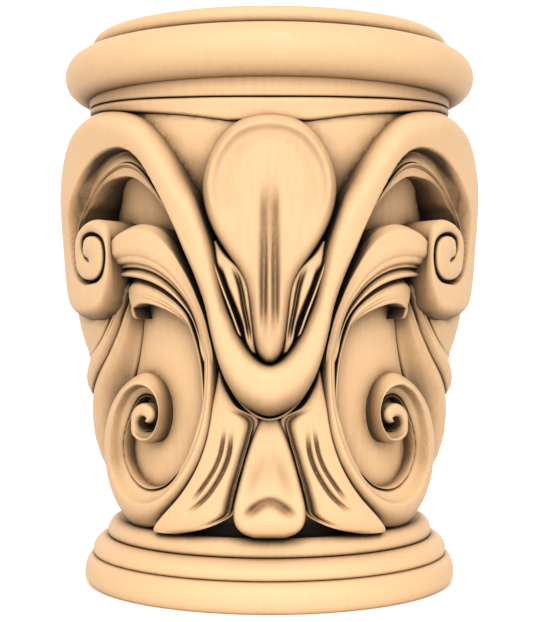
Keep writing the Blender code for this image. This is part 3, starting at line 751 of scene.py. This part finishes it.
# The spoon leaf: half width, height, rise of its face
spoon = {
    "rows": (
        (0.6, 245.6, 10.5),
        (4.6, 244.8, 10.6),
        (8.0, 242.8, 11.0),
        (11.4, 239.0, 11.8),
        (14.2, 233.4, 13.0),
        (16.4, 226.6, 14.4),
        (17.9, 218.6, 16.0),
        (18.4, 209.6, 17.8),
        (17.6, 199.8, 19.6),
        (15.8, 191.0, 21.4),
        (13.4, 183.4, 23.0),
        (10.6, 176.0, 24.4),
        (8.0, 169.4, 25.4),
        (6.2, 162.6, 26.2),
        (5.2, 154.6, 26.8),
        (4.7, 145.6, 26.6),
        (4.2, 136.6, 26.0),
        (3.4, 129.4, 25.0),
        (2.0, 125.0, 23.6),
        (0.8, 123.2, 22.6),
    ),
    "edgeMm": 6.2,  # the radius of its edge
    "rimMm": 5.4,  # how far in from the edge the rim lies, and the valley
    "rimRise": 1.1,
    "valleyMm": 10.0,
    "valleyDepth": 1.8,
    "grooves": ((0.9, 218.0), (1.15, 195.0), (1.35, 172.0), (1.45, 150.0), (1.5, 131.0)),
}


def outlineOf(stations):
    first = [(r[0], r[1]) for r in stations]
    second = [(r[2], r[3]) for r in reversed(stations)]
    return first + second + first[:1]


def spoonShape(v, t, stations, angles, heights):
    inside, _ = lineDistance(angles, heights, outlineOf(list(stations)))
    rise = stations[:, 4, None]
    up = ease((heights - 185) / 25)
    rim = spoon["rimRise"] * up * np.exp(-(((inside - spoon["rimMm"]) / 2.0) ** 2))
    deepest = 0.4 * up + 0.6 * ease((heights - 210) / 25)
    valley = spoon["valleyDepth"] * deepest * np.exp(-(((inside - spoon["valleyMm"]) / 4.5) ** 2))
    drop = roundOff(inside, spoon["edgeMm"])
    return 1 + (rim - valley - drop) / rise


spoonCuts = [([(s * a, z) for a, z in spoon["grooves"]], 1.7, 2.4) for s in (-1, 1)]
carve("spoon", wholeWidth(spoon["rows"]), spoonShape, step=1.1, across=64, edge=0.0, tuck=1.0, cuts=spoonCuts)

# The fold each side of its stem, and the thin rib beside it
stemFold = {
    "fold": (
        (-15.0, 183.0, -14.3, 183.0, 16.0),
        (-14.4, 176.0, -11.6, 176.5, 18.5),
        (-13.4, 169.0, -7.6, 169.5, 20.0),
        (-12.0, 162.0, -5.4, 162.5, 21.0),
        (-10.6, 155.0, -4.8, 155.0, 21.5),
        (-9.1, 148.0, -4.5, 147.5, 21.5),
        (-7.8, 141.0, -4.2, 140.0, 21.0),
        (-6.4, 134.0, -3.8, 133.0, 20.0),
        (-5.2, 129.0, -3.4, 128.0, 18.5),
    ),
    "rib": (
        (-14.9, 174.0),
        (-13.6, 167.0),
        (-12.3, 160.0),
        (-10.9, 153.0),
        (-9.6, 146.5),
        (-8.4, 140.0),
        (-7.6, 136.5),
    ),
    "nearCut": (
        (-10.0, 172.0),
        (-8.2, 165.0),
        (-7.2, 158.0),
        (-6.6, 151.0),
        (-5.9, 144.0),
        (-5.3, 137.0),
        (-4.9, 131.5),
    ),
    "farCut": ((-13.7, 173.0), (-12.2, 163.0), (-10.7, 156.0), (-9.2, 149.0), (-7.9, 142.0), (-6.7, 132.0)),
}
foldCuts = ((stemFold["nearCut"], 1.0, 2.2), (stemFold["farCut"], 1.5, 4.2))  # width and depth in millimetres
carve("stemFold", stemFold["fold"], plain, step=1.0, across=52, edge=1.6, tuck=0.4, cuts=foldCuts)
ribRows = [(a - 0.35, z, a + 0.35, z, 20.5) for a, z in stemFold["rib"]]
carve("stemRib", ribRows, plain, step=1.2, across=10, edge=0.55, ends=1.0, tuck=0.1)

# The tongue under the V and its two foot leaves
tongue = {
    "rows": (
        (3.0, 97.0, 8.0),
        (4.2, 91.5, 10.5),
        (5.6, 85.0, 12.0),
        (6.9, 78.5, 12.6),
        (8.2, 71.5, 12.8),
        (9.4, 64.0, 13.4),
        (10.3, 57.5, 14.8),
        (10.8, 51.5, 17.2),
        (10.7, 46.4, 18.8),
        (9.8, 42.0, 18.8),
        (7.8, 38.6, 17.4),
        (4.6, 36.2, 15.0),
    ),
    "brow": ((0.0, 54.3), (2.0, 53.6), (4.0, 51.6), (6.2, 49.0), (8.6, 46.6)),
    "dishHeight": 65.0,
    "dishMm": 3.0,
    "edgeMm": 3.4,
}


def tongueShape(v, t, stations, angles, heights):
    inside, _ = lineDistance(angles, heights, outlineOf(list(stations)))
    dish = np.exp(-(((heights - tongue["dishHeight"]) / 13) ** 2)) * ease((inside - 3.0) / 9.0)
    return 1 - (roundOff(inside, tongue["edgeMm"]) + tongue["dishMm"] * dish) / stations[:, 4, None]


brow = [(-a, z) for a, z in reversed(tongue["brow"][1:])] + list(tongue["brow"])
tongueRows, browCut = wholeWidth(tongue["rows"]), [(brow, 2.2, 3.2)]
carve("tongue", tongueRows, tongueShape, step=1.1, across=56, edge=0.0, tuck=0.6, cuts=browCut)

footLeaf = {
    "rows": (
        (-16.2, 120.0, -15.0, 119.5, 8.0),
        (-16.9, 111.0, -13.4, 111.5, 10.5),
        (-17.8, 102.0, -9.6, 101.5, 12.0),
        (-18.6, 93.0, -3.4, 95.5, 12.6),
        (-19.8, 84.5, -4.0, 86.0, 12.8),
        (-21.6, 76.5, -5.5, 77.5, 12.8),
        (-24.0, 68.5, -7.0, 69.5, 13.0),
        (-27.0, 61.0, -8.4, 62.0, 13.2),
        (-30.6, 54.0, -9.6, 54.5, 13.5),
        (-34.8, 47.5, -10.8, 48.2, 13.8),
        (-38.6, 41.8, -14.6, 44.2, 13.8),
        (-41.0, 37.8, -21.5, 39.6, 13.2),
        (-41.6, 35.6, -32.0, 35.8, 12.0),
    ),
    "farCut": (
        (-13.4, 94.0),
        (-14.1, 85.0),
        (-15.1, 77.5),
        (-16.8, 70.9),
        (-19.2, 64.8),
        (-22.4, 58.0),
        (-26.0, 50.8),
    ),
    "nearCut": (
        (-11.6, 94.0),
        (-11.7, 85.1),
        (-12.4, 77.6),
        (-14.1, 70.0),
        (-16.8, 62.4),
        (-19.8, 56.1),
        (-23.5, 50.9),
        (-28.4, 45.6),
    ),
    "valleyMm": 9.0,  # how far from its edge under the tongue the leaf begins to fall
    "valleyDepth": 0.27,
}


def footLeafShape(v, t, stations, angles, heights):
    a0, z0, a1, z1 = (stations[:, k] for k in range(4))
    fromTongue = (1 - v) * np.hypot((a1 - a0) * mmPerDegree, z1 - z0)[:, None]
    beside = ease((heights - 40) / 8) * ease((102 - heights) / 8)
    valley = footLeaf["valleyDepth"] * ease((footLeaf["valleyMm"] - fromTongue) / 6)
    ridge = 0.13 * np.exp(-(((fromTongue - 3.9) / 0.6) ** 2))
    ridge = ridge - 0.06 * np.exp(-(((fromTongue - 5.2) / 0.7) ** 2))
    return 0.90 + 0.10 * np.sin(np.pi * v) - beside * (valley - ridge)


leafCuts = ((footLeaf["farCut"], 1.0, 1.9), (footLeaf["nearCut"], 1.1, 2.1))
carve(
    "footLeaf",
    footLeaf["rows"],
    footLeafShape,
    step=1.2,
    across=64,
    edge=1.3,
    tuck=0.6,
    ends=0.8,
    cuts=leafCuts,
)

# The thin rim under the V, and the lip and fascia under the neck
trim = {
    "rim": ((-13.4, 118.0), (-12.2, 112.6), (-10.4, 107.0), (-7.8, 101.8), (-5.2, 98.2), (-2.6, 96.0)),
    "rimMiddle": (0.0, 94.5, 0.0, 95.9, 9.5),
    "fascia": (
        (0.0, 265.0, 0.0, 253.9, 4.2),
        (-20.0, 265.0, -20.0, 254.6, 4.2),
        (-46.0, 265.0, -46.0, 257.0, 3.8),
        (-79.0, 265.0, -79.0, 260.2, 3.2),
        (-90.5, 265.0, -90.5, 260.6, 3.0),
    ),
    "lip": (
        (0.0, 253.6, 0.0, 241.4, 6.0),
        (-11.0, 253.9, -11.0, 241.9, 6.0),
        (-15.0, 254.1, -15.0, 243.0, 6.0),
        (-27.0, 254.8, -27.0, 246.3, 5.8),
        (-46.0, 256.7, -46.0, 249.9, 5.4),
        (-62.0, 258.3, -62.0, 253.4, 4.6),
        (-79.0, 259.9, -79.0, 255.6, 3.8),
        (-90.5, 260.3, -90.5, 256.0, 3.6),
    ),
    "edges": {"fascia": 1.2, "lip": 2.2},
}
rimRows = [(a - 0.35, z - 0.5, a + 0.35, z + 0.5, 9.5) for a, z in trim["rim"]]
wholeRim = rimRows + [trim["rimMiddle"]] + mirroredRows(rimRows)
carve("vRim", wholeRim, plain, step=1.4, across=10, edge=0.6, tuck=0.1)
for part, edge in trim["edges"].items():
    rows = list(trim[part])
    carve(part, mirroredRows(rows) + rows[1:], plain, step=3.0, across=20, edge=edge, tuck=0.6)
print("members drawn:", len(drawnPieces))

# Turned outline, from the underside to the top: foot beads, bell, neck, torus and cap
turned = {
    # height and radius of each foot bead, and the radius of what stands on it
    "beads": ((15.7, 102.4, 97.0), (10.1, 97.9, 89.4), (9.6, 89.9, 83.5)),
    "neckRadius": 98.0,
    "neckFoot": 256.5,
    "coveDepth": 3.4,
    "torusFoot": 263.5,
    "torusHeight": 26.9,
    "torusRadius": 113.4,
    "capHeight": 9.59,
    "capFoot": 3.0,  # height of the cap's lower rounding
    "capRadius": 98.8,
    "capEase": 6.2,
    "footEase": 4.6,  # how far the lowest bead turns in at its foot
    "fieldRise": 4.5,  # how far the ground between the arches and the spoon stands proud of the bell
    "fieldFoot": 205.0,
    "cutsRound": 320,
    "bellRows": 116,
}


def turnedOutline(spec):
    points = [(0.0, 0.0)]
    z = 0.0
    for height, radius, following in spec["beads"]:
        belly = (0.34 if z == 0 else 0.20) * height
        turnIn = spec["footEase"] if z == 0 else 1.2
        for k in range(6):
            turn = math.pi / 2 * k / 6
            points.append((radius - turnIn * (1 - math.sin(turn)), z + belly * (1 - math.cos(turn))))
        for k in range(13):
            turn = math.pi / 2 * k / 12
            out, up = math.cos(turn), math.sin(turn)
            points.append((following + (radius - following) * out, z + belly + (height - belly) * up))
        z += height
    for k in range(spec["bellRows"] + 1):
        t = k / spec["bellRows"]
        height = z + (spec["neckFoot"] - z) * t
        share = (height - bell["foot"]) / bell["carved"]
        radius = bell["footRadius"] + bell["flare"] * (8 * share + share**6) / 9
        proud = spec["fieldRise"] * float(ease((height - spec["fieldFoot"]) / 24))
        radius = min(radius + proud, spec["neckRadius"] + 0.6)
        if k == spec["bellRows"]:
            radius = spec["neckRadius"] - spec["coveDepth"]
        points.append((radius, height))
    for k in range(9):  # the neck is a shallow cove, deepest just over the lip
        share = k / 8
        radius = spec["neckRadius"] - spec["coveDepth"] * (1 - share) ** 1.5
        points.append((radius, spec["neckFoot"] + (spec["torusFoot"] - 0.4 - spec["neckFoot"]) * share))
    half = spec["torusHeight"] / 2
    for k in range(33):
        turn = math.pi * k / 32
        radius = spec["torusRadius"] - half + half * math.sin(turn)
        points.append((radius, spec["torusFoot"] + half * (1 - math.cos(turn))))
    z = spec["torusFoot"] + spec["torusHeight"]
    for k in range(5):
        turn = math.pi / 2 * k / 4
        radius = spec["capRadius"] - 1.6 * (1 - math.sin(turn))
        points.append((radius, z + spec["capFoot"] * (1 - math.cos(turn))))
    for k in range(1, 11):
        turn = math.pi / 2 * k / 10
        radius = spec["capRadius"] - spec["capEase"] * (1 - math.cos(turn))
        points.append((radius, z + spec["capFoot"] + (spec["capHeight"] - spec["capFoot"]) * math.sin(turn)))
    points.append((0.0, z + spec["capHeight"]))
    return points


def makeTurned(spec):
    outline = turnedOutline(spec)
    cut = math.pi / spec["cutsRound"]
    sector = []
    for side in (-1, 1):
        across, back = math.sin(side * cut), math.cos(side * cut)
        sector += [(radius * mm * across, -radius * mm * back, height * mm) for radius, height in outline]
    n = len(outline)
    faces = [(k, n + k, n + k + 1, k + 1) for k in range(n - 1)]
    drawn = meshObject("turnedSector", sector, faces)
    made = runTree(drawn, latheTree, {"Cuts round": spec["cutsRound"], "Wood": wood})
    bpy.data.objects.remove(drawn)
    return made


turnedMesh = makeTurned(turned)
print("turned block:", len(turnedMesh.polygons), "faces")

# Each member goes round the bell. Members drawn whole need no mirrored half.
wholeMembers = ("band", "spoon", "tongue", "vRim", "fascia", "lip")
meshes = {}
quarterCounts = {}
for name, drawn in drawnPieces:
    mirrored = name not in wholeMembers
    values = {"Mirrored": mirrored, "Wood": wood, "Units round": bell["units"]}
    meshes[name] = runTree(drawn, wrapTree, values)
    copies = bell["units"] * (2 if mirrored else 1)
    quarterCounts[name] = (len(meshes[name].vertices) // copies, copies)
    bpy.data.objects.remove(drawn)
print("members wrapped round the bell")

# Painted shade at each spot: the share of the light round it that neighbouring carving keeps off, painted
# into the wood's colour
paintedShade = {
    "rays": 48,
    "reachMm": 26.0,
    "liftMm": 0.2,  # how far off the surface a ray starts
    "buriedMm": 60.0,  # how far to look for the inside of another member's face
    "fromAbove": 0.12,  # how much less a low ray counts than one straight up, so that faces looking up are painted lighter
    # painted shade on faces that turn sideways or down
    "turned": 0.24,
    "cutShade": 0.06,  # painted shade for each millimetre of a gouge's cut
    "members": {"spoon": 0.08, "curl": 0.15, "tongue": 0.04},  # extra painted shade on broad dished faces
    # how far a face turns down, as the sine, before painted shade begins on it
    "underside": 0.4,
    "undersides": {"band": 0.1, "lip": 0.2, "turned block": 0.6},
    "sunkMm": 3.0,  # a wall is painted full shade from this far below the ground
    # the gap under the foot leaves: its painted shade, top, foot, fade and half width in millimetres and
    # degrees
    "footGapShade": 0.5,
    "gapTop": 46.0,
    "gapFoot": 35.3,
    "gapFade": 8.0,
    "gapHalfWidth": 30.0,
    "gapSideFade": 4.0,
}


def pointsOf(mesh):
    flat = np.empty(len(mesh.vertices) * 3, np.float32)
    mesh.vertices.foreach_get("co", flat)
    return flat.reshape(-1, 3)


def normalsOf(mesh):
    flat = np.empty(len(mesh.vertices) * 3, np.float32)
    mesh.vertex_normals.foreach_get("vector", flat)
    return flat.reshape(-1, 3)


def solidTree():
    points, faces, start = [], [], 0
    for mesh in [turnedMesh, *meshes.values()]:
        points.append(pointsOf(mesh))
        faces += [tuple(start + v for v in p.vertices) for p in mesh.polygons]
        start += len(mesh.vertices)
    return BVHTree.FromPolygons(np.vstack(points).tolist(), faces)


def halfSphere(count):
    # directions spread evenly by their cosine, so that each counts the same
    rays = []
    for k in range(count):
        u = (k + 0.5) / count
        turn = k * math.pi * (3 - math.sqrt(5))
        rays.append((math.sqrt(u) * math.cos(turn), math.sqrt(u) * math.sin(turn), math.sqrt(1 - u)))
    return np.array(rays)


def measurePaintedShade(tree, points, normals, fromLevel):
    rays = halfSphere(paintedShade["rays"])
    helper = np.where(np.abs(normals[:, 2:]) < 0.9, [[0.0, 0.0, 1.0]], [[1.0, 0.0, 0.0]])
    side = np.cross(normals, helper)
    side /= np.linalg.norm(side, axis=1, keepdims=True) + 1e-12
    other = np.cross(normals, side)
    reach = paintedShade["reachMm"] * mm
    found = np.zeros(len(points))
    cast = tree.ray_cast
    for i in range(len(points)):
        directions = rays @ np.stack([side[i], other[i], normals[i]])
        weights = (1 - paintedShade["fromAbove"] * (1 - directions[:, 2])).tolist()
        origin = Vector((points[i] + normals[i] * paintedShade["liftMm"] * mm).tolist())
        outward = Vector(normals[i].tolist())
        facing = cast(origin, outward, paintedShade["buriedMm"] * mm)[1]
        if facing is not None and facing.dot(outward) > 0:
            found[i] = np.nan  # buried in another member
            continue
        light = 0.0
        for d, weight in zip(directions.tolist(), weights):
            gap = cast(origin, d, reach)[3]
            if gap is None:
                light += weight
            else:
                light += weight * gap / reach
        found[i] = 1 - light / len(rays)
    # painted shade on surfaces that turn sideways or down, more than on the open face
    outwards = np.maximum(np.hypot(points[:, 0], points[:, 1]), mm)
    spun = (normals[:, 0] * points[:, 1] - normals[:, 1] * points[:, 0]) / outwards
    down = np.clip((-normals[:, 2] - fromLevel) / 0.6, 0, 1.2)
    return found + paintedShade["turned"] * np.hypot(spun, down) ** 1.8


def writePaintedShade(mesh, values):
    attribute = mesh.attributes.new("painted_shade", "FLOAT", "POINT")
    attribute.data.foreach_set("value", values.astype(np.float32))


def bellRadius(height):
    share = np.clip((height / mm - bell["foot"]) / bell["carved"], 0, 1)
    return (bell["footRadius"] + bell["flare"] * (8 * share + share**6) / 9) * mm


def fillBuried(mesh, values):
    # a buried spot takes the value of the open ones beside it
    ends = np.empty(len(mesh.edges) * 2, np.int32)
    mesh.edges.foreach_get("vertices", ends)
    ends = ends.reshape(-1, 2)
    ends = np.concatenate([ends, ends[:, ::-1]])
    ends = ends[(ends < len(values)).all(axis=1)]
    for _ in range(5):
        known = np.isnan(values[ends[:, 0]]) & ~np.isnan(values[ends[:, 1]])
        total = np.bincount(ends[known, 0], values[ends[known, 1]], len(values))
        number = np.bincount(ends[known, 0], minlength=len(values))
        values = np.where(number > 0, total / np.maximum(number, 1), values)
    return np.where(np.isnan(values), 1.0, values)


castTree = solidTree()
for name, mesh in meshes.items():
    count, copies = quarterCounts[name]
    points = pointsOf(mesh)[:count]
    fromLevel = paintedShade["undersides"].get(name, paintedShade["underside"])
    values = measurePaintedShade(castTree, points, normalsOf(mesh)[:count], fromLevel)
    # painted shade in gouge cuts and on the dished members
    values += paintedShade["cutShade"] * cutDepths[name] + paintedShade["members"].get(name, 0.0)
    sunk = np.hypot(points[:, 0], points[:, 1]) < bellRadius(points[:, 2]) - paintedShade["sunkMm"] * mm
    values[sunk] = 1.0  # the foot of a wall is painted full shade, so that it darkens towards the ground
    writePaintedShade(mesh, np.tile(fillBuried(mesh, values), copies))
# the turned block is measured on one of its four quarters, which are alike
points, normals = pointsOf(turnedMesh), normalsOf(turnedMesh)
folded = np.abs((np.degrees(np.arctan2(points[:, 0], -points[:, 1])) + 90) % 180 - 90)
keys = np.round(np.stack([folded, points[:, 2] * 1e5, np.hypot(points[:, 0], points[:, 1]) * 1e4], 1), 1)
_, picked, back = np.unique(keys, axis=0, return_index=True, return_inverse=True)
fromLevel = paintedShade["undersides"]["turned block"]
values = measurePaintedShade(castTree, points[picked], normals[picked], fromLevel)[back.ravel()]
# painted shadow in the gap under the foot leaves
paintedShadeUnderLeaves = ease((paintedShade["gapTop"] * mm - points[:, 2]) / (paintedShade["gapFade"] * mm))
paintedShadeUnderLeaves = paintedShadeUnderLeaves * ease((paintedShade["gapHalfWidth"] - folded) / paintedShade["gapSideFade"])
paintedShadeUnderLeaves = paintedShadeUnderLeaves * (points[:, 2] > paintedShade["gapFoot"] * mm)
writePaintedShade(turnedMesh, fillBuried(turnedMesh, values) + paintedShade["footGapShade"] * paintedShadeUnderLeaves)
print("hollows measured")

# Pieces: the turned block and the carving that stands on it
sharpDegrees = 52  # an edge sharper than this stays crisp
groups = {
    "capital_block": None,
    "capital_arches": ("band", "archBead"),
    "capital_scrolls": ("scroll", "upperHood", "lowerHood", "curl"),
    "capital_leaves": ("spoon", "stemFold", "stemRib", "tongue", "footLeaf", "vRim"),
    "capital_side_leaves": ("upperSideLobe", "middleSideLobe", "lowerSideLobe"),
    "capital_lip": ("fascia", "lip"),
}


def joinMeshes(name, parts):
    points, faces, values, start = [], [], [], 0
    for mesh in parts:
        points.append(pointsOf(mesh))
        faces += [tuple(start + v for v in p.vertices) for p in mesh.polygons]
        start += len(mesh.vertices)
        flat = np.empty(len(mesh.vertices), np.float32)
        mesh.attributes["painted_shade"].data.foreach_get("value", flat)
        values.append(flat)
    joined = bpy.data.meshes.new(name)
    joined.from_pydata(np.vstack(points).tolist(), [], faces)
    writePaintedShade(joined, np.concatenate(values))
    joined.materials.append(wood)
    joined.shade_smooth()
    joined.set_sharp_from_angle(angle=math.radians(sharpDegrees))
    return joined


for name, members in groups.items():
    parts = [turnedMesh] if members is None else [meshes[m] for m in members]
    piece = bpy.data.objects.new(name, joinMeshes(name, parts))
    bpy.context.scene.collection.objects.link(piece)
    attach(piece, "root")
    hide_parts("capital")
    print(name, sum(len(p.vertices) - 2 for p in piece.data.polygons), "triangles")

# A white floor that sweeps up behind, soft light from in front and above, and the photograph's
# camera, in metres, degrees and millimetres of lens
studio = {
    "floor": "#FFFFFF",
    "floorRoughness": 0.9,
    "halfWidth": 3.0,
    "sweepStart": 1.0,
    "sweepRadius": 0.8,
    "wallTop": 3.0,
    "camera": (-0.0005, -0.775, 0.1489),
    "lens": 79.87,
    "world": 0.42,
    "sun": 3.8,
    "sunHeight": 32.0,
    "sunSoftness": 50.0,
}


def makeStudio(spec):
    paper = bpy.data.materials.new("matt white paper")
    paper.use_nodes = True
    shader = paper.node_tree.nodes["Principled BSDF"]
    shader.inputs["Base Color"].default_value = linear(spec["floor"])
    shader.inputs["Roughness"].default_value = spec["floorRoughness"]
    start, radius, half = spec["sweepStart"], spec["sweepRadius"], spec["halfWidth"]
    profile = [(-half, 0.0), (start, 0.0)]
    for k in range(1, 13):
        turn = math.pi / 2 * k / 12
        profile.append((start + radius * math.sin(turn), radius * (1 - math.cos(turn))))
    profile.append((start + radius, spec["wallTop"]))
    points = [(x, y, z) for y, z in profile for x in (-half, half)]
    faces = [(2 * k, 2 * k + 1, 2 * k + 3, 2 * k + 2) for k in range(len(profile) - 1)]
    floor = meshObject("floor", points, faces)
    floor.data.materials.append(paper)
    floor.data.shade_smooth()
    world = bpy.data.worlds.new("studio")
    world.use_nodes = True
    world.node_tree.nodes["Background"].inputs["Color"].default_value = (1.0, 1.0, 1.0, 1.0)
    world.node_tree.nodes["Background"].inputs["Strength"].default_value = spec["world"]
    bpy.context.scene.world = world
    data = bpy.data.lights.new("softbox", "SUN")
    data.energy = spec["sun"]
    data.angle = math.radians(spec["sunSoftness"])
    lamp = bpy.data.objects.new("softbox", data)
    lamp.location = (0.0, -1.0, 1.2)
    lamp.rotation_euler = (math.radians(90 - spec["sunHeight"]), 0.0, 0.0)
    bpy.context.scene.collection.objects.link(lamp)
    data = bpy.data.cameras.new("camera")
    data.lens = spec["lens"]
    data.sensor_width = 36.0
    camera = bpy.data.objects.new("camera", data)
    camera.location = spec["camera"]
    camera.rotation_euler = (math.pi / 2, 0.0, 0.0)
    bpy.context.scene.collection.objects.link(camera)
    bpy.context.scene.camera = camera


makeStudio(studio)
bpy.context.scene.view_settings.view_transform = "Standard"
